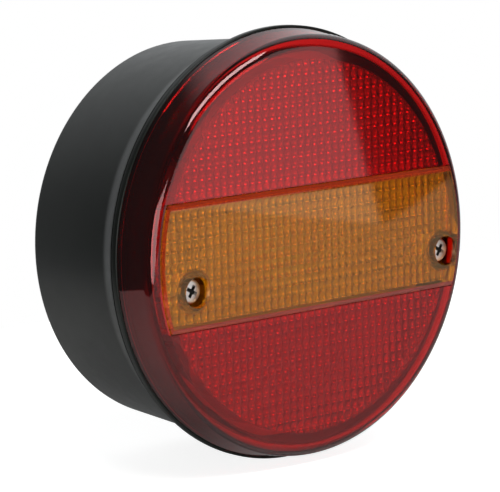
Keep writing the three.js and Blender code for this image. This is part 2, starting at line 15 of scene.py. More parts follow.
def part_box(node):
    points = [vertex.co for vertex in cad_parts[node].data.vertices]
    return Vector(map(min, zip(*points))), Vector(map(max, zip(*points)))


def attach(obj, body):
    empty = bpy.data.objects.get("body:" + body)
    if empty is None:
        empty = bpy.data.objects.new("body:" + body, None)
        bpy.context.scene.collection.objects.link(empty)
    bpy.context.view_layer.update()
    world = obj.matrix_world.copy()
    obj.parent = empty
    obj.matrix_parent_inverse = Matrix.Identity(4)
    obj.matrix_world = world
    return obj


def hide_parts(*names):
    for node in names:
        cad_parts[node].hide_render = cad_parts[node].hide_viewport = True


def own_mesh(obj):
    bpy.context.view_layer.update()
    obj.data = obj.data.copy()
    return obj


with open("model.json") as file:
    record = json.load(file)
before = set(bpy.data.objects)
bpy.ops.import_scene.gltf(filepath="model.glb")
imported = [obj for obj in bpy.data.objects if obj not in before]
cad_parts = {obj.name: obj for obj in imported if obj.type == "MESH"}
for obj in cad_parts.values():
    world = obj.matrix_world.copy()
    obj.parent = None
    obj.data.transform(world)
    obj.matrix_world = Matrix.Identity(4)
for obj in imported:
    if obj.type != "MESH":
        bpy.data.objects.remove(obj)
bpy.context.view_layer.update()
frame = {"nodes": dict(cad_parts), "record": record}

MM = 0.001
FINE = 192  # sides of the large round pieces
CHAMBERS = ("stop", "indicator", "tail")


def low(node):
    """Lowest corner of a CAD node, in millimetres."""
    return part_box(node)[0] / MM


def high(node):
    """Highest corner of a CAD node, in millimetres."""
    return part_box(node)[1] / MM


def middle(node):
    """Middle of a CAD node's box, in millimetres."""
    return (low(node) + high(node)) / 2


# ---------------------------------------------------------------- mesh helpers


def new_object(name, verts, faces):
    """A mesh object from points in millimetres, with its faces turned outwards if it is closed."""
    mesh = bpy.data.meshes.new(name)
    mesh.from_pydata([tuple(c * MM for c in v) for v in verts], [], [tuple(f) for f in faces])
    mesh.validate()
    obj = bpy.data.objects.new(name, mesh)
    bpy.context.scene.collection.objects.link(obj)
    if signed_volume(mesh) < 0:
        mesh.flip_normals()
    return obj


def signed_volume(mesh):
    """The volume of a closed mesh, negative where its faces look inwards."""
    mesh.calc_loop_triangles()
    co = np.empty(len(mesh.vertices) * 3)
    mesh.vertices.foreach_get("co", co)
    co = co.reshape(-1, 3)
    tri = np.empty(len(mesh.loop_triangles) * 3, int)
    mesh.loop_triangles.foreach_get("vertices", tri)
    a, b, c = (co[tri.reshape(-1, 3)[:, k]] for k in range(3))
    return float((a * np.cross(b, c)).sum() / 6)


def smooth(obj, angle):
    """Shades a piece smooth, with an edge kept sharp where it turns by more than the angle."""
    mesh = obj.data
    mesh.polygons.foreach_set("use_smooth", [True] * len(mesh.polygons))
    mesh.set_sharp_from_angle(angle=math.radians(angle))
    mesh.update()
    return obj


def rounded(points, radii):
    """The outline with the corners named in radii (index: radius) replaced by short arcs."""
    out = []
    for i, here in enumerate(points):
        radius = radii.get(i, 0)
        if radius <= 0:
            out.append(tuple(here))
            continue
        p = Vector(here)
        a = (Vector(points[i - 1]) - p).normalized()
        b = (Vector(points[(i + 1) % len(points)]) - p).normalized()
        half = a.angle(b) / 2
        centre = p + (a + b).normalized() * (radius / math.sin(half))
        start = p + a * (radius / math.tan(half)) - centre
        end = p + b * (radius / math.tan(half)) - centre
        turn = start.angle(end)
        steps = max(2, round(math.degrees(turn) / 15))
        for k in range(steps + 1):
            t = k / steps
            mix = (start * math.sin((1 - t) * turn) + end * math.sin(t * turn)) / math.sin(turn)
            out.append(tuple(centre + mix))
    return out


def turned(name, profile, sides=FINE):
    """A body turned about Y from [radius, y] points. It closes on itself or ends on the axis."""
    on_axis = profile[0][0] < 1e-9 and profile[-1][0] < 1e-9
    verts, rings = [], []
    for radius, y in profile:
        if radius < 1e-9:
            rings.append([len(verts)] * sides)
            verts.append((0, y, 0))
        else:
            rings.append([len(verts) + k for k in range(sides)])
            for k in range(sides):
                t = 2 * math.pi * k / sides
                verts.append((radius * math.cos(t), y, radius * math.sin(t)))
    faces = []
    pairs = len(rings) - 1 if on_axis else len(rings)
    for i in range(pairs):
        a, b = rings[i], rings[(i + 1) % len(rings)]
        for k in range(sides):
            m = (k + 1) % sides
            face = list(dict.fromkeys((a[k], a[m], b[m], b[k])))
            if len(face) > 2:
                faces.append(face)
    return new_object(name, verts, faces)


def extruded(name, near, far):
    """A body between two equal outlines, each a list of points."""
    n = len(near)
    faces = [list(range(n)), list(range(2 * n - 1, n - 1, -1))]
    faces += [(k, k + n, (k + 1) % n + n, (k + 1) % n) for k in range(n)]
    return new_object(name, [*near, *far], faces)


def prism(name, outline, y_from, y_to):
    """An outline of (x, z) points extruded along Y."""
    return extruded(name, *([(x, y, z) for x, z in outline] for y in (y_from, y_to)))


def plate_z(name, outline, z_from, z_to):
    """An outline of (x, y) points extruded along Z."""
    return extruded(name, *([(x, y, z) for x, y in outline] for z in (z_from, z_to)))


def rod(name, radius, y_from, y_to, x=0.0, z=0.0, sides=64):
    """A round bar along Y."""
    turns = [2 * math.pi * k / sides for k in range(sides)]
    outline = [(x + radius * math.cos(t), z + radius * math.sin(t)) for t in turns]
    return prism(name, outline, y_from, y_to)


def combine(base, tools, operation):
    """Joins, cuts or intersects base with each tool in turn, and removes the tools."""
    for tool in tools:
        modifier = base.modifiers.new("combine", "BOOLEAN")
        modifier.operation = operation
        modifier.solver = "MANIFOLD"
        modifier.object = tool
        graph = bpy.context.evaluated_depsgraph_get()
        mesh = bpy.data.meshes.new_from_object(base.evaluated_get(graph))
        base.modifiers.clear()
        base.data = mesh
        bpy.data.objects.remove(tool)
    return base


def join(base, *tools):
    return combine(base, tools, "UNION")


def cut(base, *tools):
    return combine(base, tools, "DIFFERENCE")


def keep_within(base, tool):
    return combine(base, [tool], "INTERSECT")


def shift(obj, place):
    """Moves a piece to a place's x and z, which are in millimetres."""
    obj.data.transform(Matrix.Translation((place.x * MM, 0, place.z * MM)))
    return obj


def tube(name, path, radius, sides=14):
    """A round wire along a line of points, with flat ends."""
    points = [Vector(p) for p in path]
    last = len(points) - 1
    normal = (points[1] - points[0]).orthogonal().normalized()
    verts = []
    for i, point in enumerate(points):
        along = (points[min(i + 1, last)] - points[max(i - 1, 0)]).normalized()
        normal = (normal - along * normal.dot(along)).normalized()
        side = along.cross(normal)
        for k in range(sides):
            t = 2 * math.pi * k / sides
            verts.append(tuple(point + (normal * math.cos(t) + side * math.sin(t)) * radius))
    faces = [tuple(range(sides)), tuple(range(last * sides + sides - 1, last * sides - 1, -1))]
    for i in range(last):
        a, b = i * sides, (i + 1) * sides
        faces += [(a + k, b + k, b + (k + 1) % sides, a + (k + 1) % sides) for k in range(sides)]
    return new_object(name, verts, faces)


def curve_through(points, steps=10):
    """A smooth line through points (Catmull-Rom), with steps pieces between each two."""
    p = [Vector(v) for v in points]
    p = [2 * p[0] - p[1], *p, 2 * p[-1] - p[-2]]
    line = []
    for i in range(1, len(p) - 2):
        for k in range(steps):
            t = k / steps
            a = 2 * p[i] + (p[i + 1] - p[i - 1]) * t
            b = (2 * p[i - 1] - 5 * p[i] + 4 * p[i + 1] - p[i + 2]) * t * t
            c = (3 * p[i] - p[i - 1] - 3 * p[i + 1] + p[i + 2]) * t * t * t
            line.append(tuple((a + b + c) / 2))
    return [*line, tuple(p[-2])]


def gather(base, *others):
    """Puts the meshes of several objects into the first one, without joining their skins."""
    merged = bmesh.new()
    for obj in (base, *others):
        merged.from_mesh(obj.data)
    merged.to_mesh(base.data)
    merged.free()
    for obj in others:
        bpy.data.objects.remove(obj)
    return base


def dress(obj, material, body, slot, *nodes):
    """Gives a finished piece its material and its body, and hides the CAD nodes it stands for. slot is
    not used.
    """
    obj.data.materials.clear()
    obj.data.materials.append(material)
    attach(obj, body)
    if nodes:
        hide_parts(*nodes)
    return obj


def paint(obj, material, chosen):
    """Gives the faces whose centres, in millimetres, are chosen a material of their own."""
    obj.data.materials.append(MATERIALS[material])
    index = len(obj.data.materials) - 1
    for face in obj.data.polygons:
        if chosen(face.center / MM):
            face.material_index = index


# ---------------------------------------------------------------- materials


class Nodes:
    """A short way to write a material's node tree."""

    def __init__(self, name):
        self.material = bpy.data.materials.new(name)
        self.material.use_nodes = True
        self.tree = self.material.node_tree
        self.shader = next(n for n in self.tree.nodes if n.type == "BSDF_PRINCIPLED")
        self.place = self.add("ShaderNodeTexCoord").outputs["Object"]

    def add(self, kind):
        return self.tree.nodes.new(kind)

    def link(self, a, b):
        self.tree.links.new(a, b)

    def set(self, **values):
        """Sets the shader's sockets, named with _ for each space."""
        for key, value in values.items():
            self.shader.inputs[key.replace("_", " ")].default_value = value

    def noise(self, scale, detail):
        """A noise of so many waves a metre."""
        node = self.add("ShaderNodeTexNoise")
        node.inputs["Scale"].default_value = scale
        node.inputs["Detail"].default_value = detail
        self.link(self.place, node.inputs["Vector"])
        return node.outputs["Fac"]

    def span(self, source, low_value, high_value):
        node = self.add("ShaderNodeMapRange")
        node.inputs["To Min"].default_value = low_value
        node.inputs["To Max"].default_value = high_value
        self.link(source, node.inputs["Value"])
        return node.outputs["Result"]

    def colour(self, source, first, second):
        """Blends two colours over the middle of the source's range."""
        node = self.add("ShaderNodeValToRGB")
        for element, at, colour in zip(node.color_ramp.elements, (0.3, 0.7), (first, second)):
            element.position = at
            element.color = (*colour, 1)
        self.link(source, node.inputs["Fac"])
        self.link(node.outputs["Color"], self.shader.inputs["Base Color"])

    def roughness(self, source, low_value, high_value):
        self.link(self.span(source, low_value, high_value), self.shader.inputs["Roughness"])

    def bump(self, source, strength, distance):
        node = self.add("ShaderNodeBump")
        node.inputs["Strength"].default_value = strength
        node.inputs["Distance"].default_value = distance
        self.link(source, node.inputs["Height"])
        self.link(node.outputs["Normal"], self.shader.inputs["Normal"])


def black_plastic():
    m = Nodes("black_plastic")
    m.colour(m.noise(60, 4), (0.0034, 0.0045, 0.0034), (0.0062, 0.0080, 0.0062))
    m.roughness(m.noise(220, 2), 0.28, 0.38)
    m.bump(m.noise(2600, 2), 0.22, 0.00012)
    m.set(Specular_IOR_Level=0.25)
    return m.material


def lens_plastic(name, pale, deep, rough, transmission, metallic):
    """Tinted acrylic with slight flow marks and moulding waviness. The metallic share stands for
    the light that lenslets throw back, and the optics are rougher and less clear."""
    m = Nodes(name)
    m.colour(m.noise(35, 2), pale, deep)
    m.roughness(m.noise(90, 2), rough, rough + 0.03)
    m.bump(m.noise(26, 1), 0.05, 0.0004)
    m.set(IOR=1.49, Transmission_Weight=transmission, Metallic=metallic)
    return m.material


def reflector_white():
    m = Nodes("reflector")
    m.colour(m.noise(50, 3), (0.80, 0.80, 0.78), (0.86, 0.86, 0.85))
    m.roughness(m.noise(120, 2), 0.18, 0.32)
    m.bump(m.noise(300, 2), 0.06, 0.0001)
    return m.material


def rubber():
    m = Nodes("black_rubber")
    m.colour(m.noise(80, 3), (0.010, 0.010, 0.010), (0.022, 0.022, 0.021))
    m.roughness(m.noise(400, 2), 0.65, 0.85)
    m.bump(m.noise(1500, 3), 0.25, 0.0002)
    return m.material


def foam():
    m = Nodes("seal_foam")
    m.colour(m.noise(200, 4), (0.34, 0.35, 0.33), (0.46, 0.47, 0.45))
    m.roughness(m.noise(500, 2), 0.75, 0.9)
    m.bump(m.noise(2200, 3), 0.35, 0.0002)
    return m.material


def metal(name, dark, light, rough=(0.26, 0.44)):
    m = Nodes(name)
    m.colour(m.noise(70, 4), dark, light)
    grain = m.noise(300, 4)
    m.roughness(grain, *rough)
    m.bump(grain, 0.12, 0.0001)
    m.set(Metallic=1.0)
    return m.material


def bulb_glass(name, pale, deep):
    m = Nodes(name)
    m.colour(m.noise(60, 2), pale, deep)
    m.roughness(m.noise(150, 2), 0.0, 0.03)
    m.bump(m.noise(40, 1), 0.06, 0.0003)
    m.set(IOR=1.5, Transmission_Weight=1.0)
    return m.material


def plain_moulding(name, dark, light, rough=(0.45, 0.6)):
    m = Nodes(name)
    m.colour(m.noise(90, 3), dark, light)
    m.roughness(m.noise(250, 2), *rough)
    m.bump(m.noise(900, 2), 0.15, 0.0001)
    return m.material


RED = ((0.80, 0.012, 0.012), (0.74, 0.009, 0.010))
# painted light: the lenslets' paler copies of the lens colours, with the metallic share, stand for the
# light that the lenslets throw back
RED_OPTICS = ((0.94, 0.014, 0.014), (0.90, 0.010, 0.011))
AMBER = ((0.97, 0.48, 0.020), (0.93, 0.44, 0.015))
AMBER_OPTICS = ((0.99, 0.62, 0.022), (0.97, 0.58, 0.017))
# painted light: the band's bevel takes a redder, darker amber that stands for the red lens seen through
# it
AMBER_BEVEL_PAINTED_RED = ((0.84, 0.070, 0.020), (0.76, 0.055, 0.016))

MATERIALS = {
    "black_plastic": black_plastic(),
    "red_lens": lens_plastic("red_lens", *RED, rough=0.02, transmission=1.0, metallic=0.04),
    "red_face": lens_plastic("red_face", *RED, rough=0.02, transmission=1.0, metallic=0.13),
    "red_optics": lens_plastic("red_optics", *RED_OPTICS, rough=0.12, transmission=0.76, metallic=0.24),
    "amber_lens": lens_plastic("amber_lens", *AMBER, rough=0.02, transmission=1.0, metallic=0.08),
    "amber_bevel_painted_red": lens_plastic(
        "amber_bevel_painted_red", *AMBER_BEVEL_PAINTED_RED, rough=0.06, transmission=0.8, metallic=0.12
    ),
    "amber_optics": lens_plastic(
        "amber_optics", *AMBER_OPTICS, rough=0.18, transmission=0.72, metallic=0.26
    ),
    "reflector": reflector_white(),
    "black_rubber": rubber(),
    "seal_foam": foam(),
    "zinc_steel": metal("zinc_steel", (0.60, 0.57, 0.56), (0.76, 0.72, 0.70)),
    "recess_shade": metal("recess_shade", (0.030, 0.028, 0.026), (0.060, 0.056, 0.052), (0.5, 0.7)),
    "spring_steel": metal("spring_steel", (0.35, 0.35, 0.36), (0.52, 0.52, 0.53)),
    "brass": metal("brass", (0.55, 0.38, 0.13), (0.75, 0.56, 0.25)),
    "clear_glass": bulb_glass("clear_glass", (0.97, 0.98, 0.98), (0.93, 0.95, 0.95)),
    "amber_glass": bulb_glass("amber_glass", (0.95, 0.50, 0.08), (0.90, 0.42, 0.05)),
    "tungsten": metal("tungsten", (0.25, 0.25, 0.26), (0.42, 0.42, 0.43)),
    "nylon": plain_moulding("nylon", (0.72, 0.70, 0.62), (0.80, 0.78, 0.71)),
    "fibre": plain_moulding("fibre", (0.14, 0.07, 0.03), (0.22, 0.12, 0.055), (0.6, 0.8)),
    "wire_cover": plain_moulding("wire_cover", (0.35, 0.015, 0.012), (0.48, 0.03, 0.02)),
}
SLOT = {s["node"]: s["material_slot"] for s in frame["record"]["subparts"]}
BODY = {node: body for body, nodes in frame["record"]["behaviour"]["bodies"].items() for node in nodes}


# ---------------------------------------------------------------- measures of the lamp

LIP = high("back_housing").x
LIP_FRONT = -52.9
COLLAR_FRONT = low("back_housing").y
BACK = 62.8  # radius at the rear corner
FLOOR = -2.8  # inner side of the housing's rear wall
HOUSING_WALL = 2.5
GAP = 0.3  # kept between the two lens colours, and in front of the posts

LENS_REAR = LIP_FRONT - 0.05  # the lens is pressed down to the lip
LENS_REAR_RADIUS = high("red_lens").x
LENS_WALL = 2.2
RIM_RADIUS = 67.7  # where the side meets the rounded rim
RIM_FRONT = -62.2
FACE = low("red_lens").y
FACE_RADIUS = 63.9  # where the rounded rim meets the flat face
INNER_FACE = FACE + LENS_WALL
INNER_FACE_RADIUS = 62.7  # the same place on the lens's inside
FLAT_MARGIN = 0.5  # a flat ring beside each rounded edge, which keeps the face's shading flat

BAND_FACE = low("amber_lens").y
BAND_HALF = high("amber_lens").z
BAND_RADIUS = high("amber_lens").x
BEVEL_DEPTH = 1.1
BEVEL_WIDTH = 1.5  # at the band's top and bottom
SKIRT_REAR = -60.4
SKIRT_WALL = 2

LENSLET = (2.9, 3.2)  # about how wide and how tall each lenslet is
RED_RISE = (0.48, 0.40)  # how much it bulges over its width and over its height
AMBER_RISE = (0.37, 0.34)
RED_BASE = INNER_FACE + 0.06  # the lowest places between the lenslets
AMBER_BASE = INNER_FACE + 0.2
OPTICS_RADIUS = 59.8
RED_REACH = 61.5  # half the size of the red plates of lenslets, before they are cut round
AMBER_REACH = 62.4
AMBER_OPTICS_INSET = 2.2
AMBER_OPTICS_HALF = 17.8
RING_STEP = 1.0  # how much thinner the lens is in the ring round the lenslets

SCREWS = {side: middle(f"lens_screw_{side}") for side in ("left", "right")}
RECESS_RADIUS = 4.9
RECESS_FLOOR = -61.3
CUP_WALL = 1.3
RING_RADIUS = 6.9  # plain ring round each screw's recess, without lenslets
POST_FRONT = high("amber_lens").y + GAP
POST_RADIUS = 5.5
STUD_HEAD_HALF = 5
STUD_THREAD_END = 1  # chamfer at the bolt's tip


def band_outline(radius, half, steps=40):
    """The band's outline: straight above and below, with ends round about the lamp's axis."""
    lean = math.asin(half / radius)
    right = [-lean + 2 * lean * k / steps for k in range(steps + 1)]
    turns = right + [math.pi + t for t in right]
    return [(radius * math.cos(t), radius * math.sin(t)) for t in turns]


# ---------------------------------------------------------------- housing


def make_housing():
    rear_corner = [(0, 0), (BACK - 2.2, 0), (BACK, -2.2)]
    flare = [(65.6, -41.5), (67.2, -46.6), (69.3, -49.4), (69.6, -49.85)]
    groove = [(69.05, -50.0), (69.05, -50.6)]
    lip = [(LIP, -50.75), (LIP, LIP_FRONT), (68.9, LIP_FRONT), (68.9, -50.8)]
    seat = [(66.3, -50.8), (66.3, -52.3), (64.9, -52.3)]
    collar = [(64.9, COLLAR_FRONT), (63.8, COLLAR_FRONT), (63.8, -49.9)]
    bore = BACK - HOUSING_WALL
    inside = [(66.0 - HOUSING_WALL, -44), (bore, FLOOR - 1), (bore - 1, FLOOR), (0, FLOOR)]
    outline = [*rear_corner, *flare, *groove, *lip, *seat, *collar, *inside]
    radii = {1: 1.6, 2: 1.6, 3: 9.0, 4: 6.0, 5: 1.2, 9: 0.2, 10: 0.45, 11: 0.2, 16: 0.3, 17: 0.3}
    housing = turned("housing_shell", rounded(outline, radii))
    places = SCREWS.values()
    posts = [rod("post", POST_RADIUS, FLOOR + 1, POST_FRONT, s.x, s.z) for s in places]
    bores = [rod("bore", 3.4, POST_FRONT - 1, POST_FRONT + 11.5, s.x, s.z) for s in places]
    stud = high("mounting_stud_upper").z - STUD_HEAD_HALF
    holes = [rod("hole", 3.2, 1, FLOOR - 1, 0, z) for z in (stud, -stud)]
    bush = middle("cable_grommet")
    holes.append(rod("hole", 5.9, 1, FLOOR - 1, bush.x, bush.z))
    cut(join(housing, *posts), *bores, *holes)
    smooth(housing, 28)
    dress(housing, MATERIALS["black_plastic"], "lamp_base", "black_plastic", "back_housing")


# ---------------------------------------------------------------- lens


def pillow(count, rise, per_pitch):
    """Heights along a row of parabolic bulges, at each of count steps."""
    return [rise * (1 - (2 * ((i % per_pitch) / per_pitch) - 1) ** 2) for i in range(count + 1)]


def optic_slab(name, half_x, z_from, z_to, base, rise, per_pitch=6):
    """A plate with a flat front, in the lens's wall, and rows of small pillow lenses on its back,
    whose lowest places are at y = base."""
    nx = per_pitch * round(2 * half_x / LENSLET[0])
    nz = per_pitch * round((z_to - z_from) / LENSLET[1])
    xs = [-half_x + 2 * half_x * i / nx for i in range(nx + 1)]
    zs = [z_from + (z_to - z_from) * j / nz for j in range(nz + 1)]
    columns = list(zip(xs, pillow(nx, rise[0], per_pitch)))
    rows = list(zip(zs, pillow(nz, rise[1], per_pitch)))
    verts = [(x, base + bx + bz, z) for z, bz in rows for x, bx in columns]
    wide = nx + 1
    faces = [
        (j * wide + i, (j + 1) * wide + i, (j + 1) * wide + i + 1, j * wide + i + 1)
        for j in range(nz)
        for i in range(nx)
    ]
    edge = list(range(wide))
    edge += [j * wide + nx for j in range(1, nz + 1)]
    edge += [nz * wide + i for i in range(nx - 1, -1, -1)]
    edge += [j * wide for j in range(nz - 1, 0, -1)]
    front = list(range(len(verts), len(verts) + len(edge)))
    verts += [(verts[e][0], INNER_FACE - 0.5, verts[e][2]) for e in edge]
    faces.append(tuple(front))
    count = len(edge)
    faces += [(edge[k], edge[(k + 1) % count], front[(k + 1) % count], front[k]) for k in range(count)]
    return new_object(name, verts, faces)


def bead(radius, y, reach, rise, steps=14):
    """A rounded rim as a quarter of an ellipse, from its side at (radius + reach, y) to its front."""
    turns = [math.pi / 2 * k / steps for k in range(steps + 1)]
    return [(radius + reach * math.cos(t), y + rise * math.sin(t)) for t in turns]


def on_lenslets(radius):
    """Chooses the faces on a lens's back within a radius, up to 2 mm behind its inner face."""
    return lambda at: 0.02 < at.y - INNER_FACE < 2.0 and math.hypot(at.x, at.z) < radius


def make_red_lens():
    inner_rim = LENS_REAR_RADIUS - LENS_WALL
    thin = INNER_FACE - RING_STEP
    outside = bead(FACE_RADIUS, RIM_FRONT, RIM_RADIUS - FACE_RADIUS, FACE - RIM_FRONT)
    inside_reach = RIM_RADIUS - LENS_WALL - INNER_FACE_RADIUS
    inside = bead(INNER_FACE_RADIUS, RIM_FRONT, inside_reach, thin - RIM_FRONT)
    edge = OPTICS_RADIUS + 0.1
    profile = [(0, INNER_FACE), (edge - FLAT_MARGIN, INNER_FACE), (edge, INNER_FACE)]
    profile += [(edge, thin), (edge + FLAT_MARGIN, thin), (INNER_FACE_RADIUS - FLAT_MARGIN, thin)]
    profile += [*reversed(inside), (inner_rim, LENS_REAR), (LENS_REAR_RADIUS, LENS_REAR), *outside]
    profile += [(FACE_RADIUS - FLAT_MARGIN, FACE), (0, FACE)]
    lens = turned("red_lens_shell", profile)
    seam = BAND_HALF - 0.5
    optics = []
    for name, z_from, z_to in (("upper", seam, RED_REACH), ("lower", -RED_REACH, -seam)):
        slab = optic_slab(f"{name}_optics", RED_REACH, z_from, z_to, RED_BASE, RED_RISE)
        limit = rod("limit", OPTICS_RADIUS, INNER_FACE - 2, INNER_FACE + 3, sides=FINE)
        optics.append(keep_within(slab, limit))
    join(lens, *optics)
    cut(lens, prism("window", band_outline(BAND_RADIUS + GAP, BAND_HALF + GAP), FACE + 8, FACE - 6))
    smooth(lens, 30)
    dress(lens, MATERIALS["red_lens"], "lens", "red_lens", "red_lens")
    paint(lens, "red_optics", on_lenslets(OPTICS_RADIUS - 0.1))
    paint(lens, "red_face", lambda at: at.y < FACE + 0.005)


def bevelled_plate(name):
    """The band's solid plate, with a softened bevel round its front edge, narrower at the ends."""
    end_share = 0.4
    levels = [
        (INNER_FACE, 0.0),
        (BAND_FACE + BEVEL_DEPTH, 0.0),
        (BAND_FACE + BEVEL_DEPTH * 0.88, BEVEL_WIDTH * 0.04),
        (BAND_FACE + BEVEL_DEPTH * 0.12, BEVEL_WIDTH * 0.86),
        (BAND_FACE + BEVEL_DEPTH * 0.03, BEVEL_WIDTH * 0.95),
        (BAND_FACE, BEVEL_WIDTH * 1.08),
        (BAND_FACE, BEVEL_WIDTH * 1.08 + 0.4),
    ]
    verts, rings = [], []
    for y, inset in levels:
        outline = band_outline(BAND_RADIUS - end_share * inset, BAND_HALF - inset)
        rings.append(range(len(verts), len(verts) + len(outline)))
        verts += [(x, y, z) for x, z in outline]
    faces = [tuple(rings[0]), tuple(reversed(rings[-1]))]
    for a, b in zip(rings, rings[1:]):
        n = len(a)
        faces += [(a[k], b[k], b[(k + 1) % n], a[(k + 1) % n]) for k in range(n)]
    return new_object(name, verts, faces)


def make_amber_lens():
    band = bevelled_plate("amber_lens_band")
    skirt = prism("skirt", band_outline(BAND_RADIUS, BAND_HALF), SKIRT_REAR, INNER_FACE - 0.5)
    hollow = band_outline(BAND_RADIUS - SKIRT_WALL, BAND_HALF - SKIRT_WALL)
    cut(skirt, prism("core", hollow, SKIRT_REAR + 1, INNER_FACE - 1))
    tall = AMBER_OPTICS_HALF + 0.1
    optics = optic_slab("optics", AMBER_REACH, -tall, tall, AMBER_BASE, AMBER_RISE)
    limit = band_outline(BAND_RADIUS - AMBER_OPTICS_INSET, AMBER_OPTICS_HALF)
    keep_within(optics, prism("limit", limit, INNER_FACE - 2, INNER_FACE + 3))
    places = SCREWS.values()
    cut(optics, *[rod("ring", RING_RADIUS, INNER_FACE - 2, INNER_FACE + 3, s.x, s.z) for s in places])
    join(band, skirt, optics)
    for s in places:
        cup = rod("cup", RECESS_RADIUS + CUP_WALL, INNER_FACE - 1, RECESS_FLOOR + CUP_WALL, s.x, s.z)
        keep_within(cup, rod("limit", BAND_RADIUS, BAND_FACE + 2, POST_FRONT, sides=FINE))
        join(band, cup, rod("sleeve", 4.5, RECESS_FLOOR, POST_FRONT - GAP, s.x, s.z))
    for s in places:
        recess = rod("recess", RECESS_RADIUS, BAND_FACE - 2, RECESS_FLOOR, s.x, s.z)
        cut(band, recess, rod("bore", 2.2, BAND_FACE - 2, POST_FRONT + 2, s.x, s.z))
    smooth(band, 30)
    dress(band, MATERIALS["amber_lens"], "lens", "amber_lens", "amber_lens")
    paint(band, "amber_optics", on_lenslets(BAND_RADIUS - AMBER_OPTICS_INSET - 0.1))

    def on_bevel(at):
        from_screw = min(math.hypot(at.x - s.x, at.z - s.z) for s in places)
        return 0.01 < at.y - BAND_FACE < 1.2 and from_screw > RECESS_RADIUS + 0.2

    # painted light: the bevel's faces take the red that stands for the red lens seen through them
    paint(band, "amber_bevel_painted_red", on_bevel)


def thread(radius, root, pitch, start, turns, places):
    """Profile points of a thread's turns from start on. places says how far along a turn the first
    crest ends, where the root lies, and how far along the next crest begins."""
    step = math.copysign(1, pitch)
    points = []
    for k in range(turns):
        y = start + k * pitch
        flat = [(root, y + step * at) for at in places[1:-1]]
        points += [(radius, y + step * places[0]), *flat, (radius, y + step * places[-1])]
    return points


def make_lens_screw(side):
    """An M4 pan-head screw with a rounded edge and a tapered cross recess, with painted shade deep in
    the recess.
    """
    centre = SCREWS[side]
    node = f"lens_screw_{side}"
    tip, front = high(node).y, low(node).y
    head, edge, height, shank, pitch = 3.9, 0.8, 2.4, 1.9, 0.7
    under = front + height
    plain = 6  # unthreaded length under the head
    turns = int((tip - 1 - (under + plain)) / pitch)
    profile = [(0, tip), (1.2, tip), (shank, tip - 1)]
    profile += thread(shank, 1.55, -pitch, tip - 1, turns, (0.1, 0.35, 0.6))
    shoulder = under - 1.4
    profile += [(shank, under), (head, under), (head, shoulder)]
    for k in range(1, 7):
        t = math.radians(15 * k)
        profile.append((head - edge + edge * math.cos(t), shoulder - edge * math.sin(t)))
    profile += [(1.6, under - 2.34), (0, front)]
    screw = turned(f"screw_{side}", profile, 64)
    blade_half = 0.6
    for turn in (0, math.pi / 2):
        outline = [(-2.5, front - 1), (2.5, front - 1), (1.8, front + 0.9), (0.6, front + 2.1)]
        outline += [(-x, y) for x, y in reversed(outline[2:])]
        blade = plate_z("blade", outline, -blade_half, blade_half)
        blade.data.transform(Matrix.Rotation(turn, 4, "Y"))
        cut(screw, blade)
    screw.data.transform(Matrix.Rotation(math.radians(30), 4, "Y"))
    smooth(shift(screw, centre), 35)
    dress(screw, MATERIALS["zinc_steel"], node, "zinc_steel", node)

    def in_cross(at):
        from_axis = math.hypot(at.x - centre.x, at.z - centre.z)
        return front + 0.3 < at.y < under - 0.1 and from_axis < 2.7

    # painted shade: the faces deep in the cross recess take the dark recess_shade steel
    paint(screw, "recess_shade", in_cross)


# ---------------------------------------------------------------- inside

WIRE_HOLE_X = -38


def wire_hole(z):
    """Where a holder's wire goes through the tray, below the upper bulb and above the others."""
    return z - 4 if z > 1 else z + 4


def make_tray():
    floor, sheet, rim = -14, 1.5, -47.5
    outer = [(0, floor), (56.6, floor), (61, rim + sheet), (63.2, rim + sheet), (63.2, rim)]
    inner = [(59.5, rim), (55.1, floor - 2.5), (54.1, floor - sheet), (0, floor - sheet)]
    tray = turned("tray", rounded([*outer, *inner], {1: 1.0, 2: 0.6, 5: 0.8, 6: 2.0}))
    rear, front = floor + 1, floor - 3
    posts = [rod("post", 6.1, rear, rim - 1.5, s.x, s.z) for s in SCREWS.values()]
    holes = []
    for name in CHAMBERS:
        rivet = middle(f"{name}_bracket_rivet")
        holes.append(rod("hole", 1.8, rear, front, rivet.x, rivet.z))
        wire_z = wire_hole(middle(f"{name}_bulb_cap").z)
        holes.append(rod("hole", 2.2, rear, front, WIRE_HOLE_X, wire_z))
    cut(tray, *posts, *holes)
    smooth(tray, 30)
    dress(tray, MATERIALS["reflector"], "lamp_base", "reflector", "reflector_tray")


BULB_FOOT = low("stop_bulb_contact").x  # the bulbs lie along X, and this end touches the plunger
BULB_AXIS = middle("stop_bulb_cap").y


def stand_for(obj, node, angle=30):
    """Smooths a finished piece and puts it in place of one CAD node."""
    smooth(obj, angle)
    return dress(obj, MATERIALS[SLOT[node]], BODY[node], SLOT[node], node)


def along_x(obj, z):
    """Lays a piece that was turned about Y along X, with its zero at a bulb's contact."""
    obj.data.transform(Matrix.Rotation(-math.pi / 2, 4, "Z"))
    obj.data.transform(Matrix.Translation((BULB_FOOT * MM, BULB_AXIS * MM, z * MM)))
    return obj


def glass_skin(inset):
    """Half the outline of a bulb's glass, drawn in by inset, from its foot to its tip."""
    neck, radius, belly, length, foot = 6.4, 13.2, 36, 52.5, 18.8
    steps = 14
    points = [(neck - inset, foot)]
    for k in range(steps):
        ease = (1 - math.cos(math.pi * k / steps)) / 2
        along = foot + 3 + (belly - foot - 3) * k / steps
        points.append((neck - inset + (radius - neck) * ease, along))
    for k in range(steps):
        t = math.pi / 2 * k / steps
        points.append(((radius - inset) * math.cos(t), belly + (length - belly - inset) * math.sin(t)))
    return [*points, (0, length - inset)]


